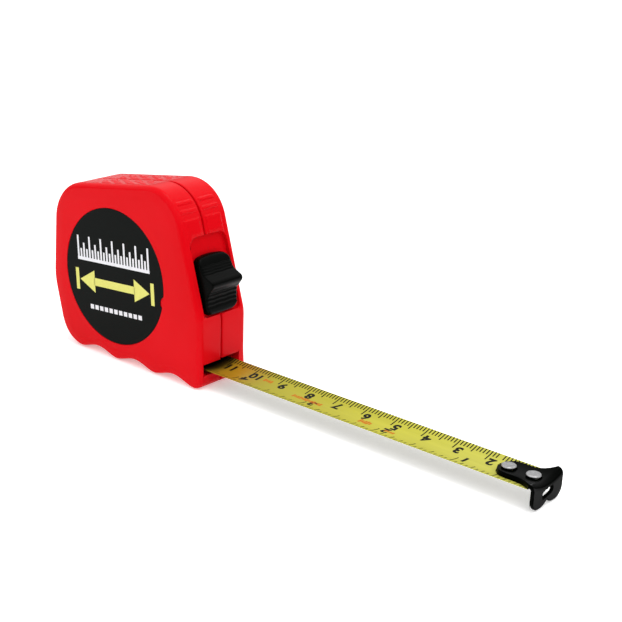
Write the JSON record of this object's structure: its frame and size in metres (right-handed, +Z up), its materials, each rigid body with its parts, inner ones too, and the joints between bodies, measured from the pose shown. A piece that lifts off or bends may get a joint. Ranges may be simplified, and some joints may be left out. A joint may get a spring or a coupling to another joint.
{
  "type": "tape measure",
  "caption": "Pocket tape measure: two-shell case, round label, slide lock, sprung reel and a cupped steel blade with a sliding riveted end hook, drawn out to about 110 mm.",
  "frame": {"origin": "on the base plane on which the case's feet stand, in the plane where the two shells meet, straight below the reel's axis", "axes": "+X is the way the blade leaves the case, +Z is up, -Y is the side with the round label and +Y the side with the belt clip"},
  "size_m": [0.1738, 0.0249, 0.0571],
  "materials": {
    "case_red": "glossy moulded ABS",
    "label_black": "satin printed label",
    "label_yellow": "satin print",
    "label_white": "satin print",
    "button_black": "satin moulded plastic",
    "inner_black": "matt moulded plastic",
    "pad_rubber": "matt",
    "blade_yellow": "satin lacquered spring steel",
    "blade_print": "printed graduations under clear coat",
    "blade_orange": "printed marks under clear coat",
    "hook_black": "glossy black coat",
    "rivet_steel": "plain",
    "steel": "plain",
    "screw_steel": "plated",
    "clip_steel": "nickel plated",
    "spring_steel": "blued spring steel",
    "liner_white": "thin nylon sheet",
    "reel_white": "acetal"
  },
  "bodies": {
    "case": {"shell_right": "case_red", "shell_left": "case_red", "label": "label_black", "spindle": "steel", "side_liners": "liner_white", "wear_plate": "steel", "case_screws": "screw_steel", "belt_clip": "clip_steel", "clip_screw": "screw_steel"},
    "lock": {"lock_button": "button_black", "lock_tongue": "inner_black", "brake_pad": "pad_rubber"},
    "reel": {"drum": "reel_white", "drum_cover": "reel_white", "mainspring": "spring_steel", "blade_coil": "blade_yellow"},
    "blade": {"blade_strip": "blade_yellow", "blade_tip": "blade_yellow", "hook_rivets": "rivet_steel"},
    "hook": {"hook": "hook_black"}
  },
  "joints": [
    {"name": "blade_pull", "type": "slide", "parent": "case", "child": "blade", "axis": [1, 0, 0], "range_m": [-0.1075, 0], "deforming": ["blade_strip"]},
    {"name": "reel_spin", "type": "hinge", "parent": "case", "child": "reel", "pos_m": [0, 0, 0.0264], "axis": [0, 1, 0], "range_deg": [0, 310], "deforming": ["mainspring"]},
    {"name": "hook_play", "type": "slide", "parent": "blade", "child": "hook", "axis": [1, 0, 0], "range_m": [-0.001, 0]},
    {"name": "lock_slide", "type": "slide", "parent": "case", "child": "lock", "axis": [-0.3007, 0, 0.9537], "range_m": [0, 0.0042]}
  ],
  "couplings": [
    {"joint": "reel_spin", "follows": "blade_pull", "rad_per_m": -49.75}
  ]
}
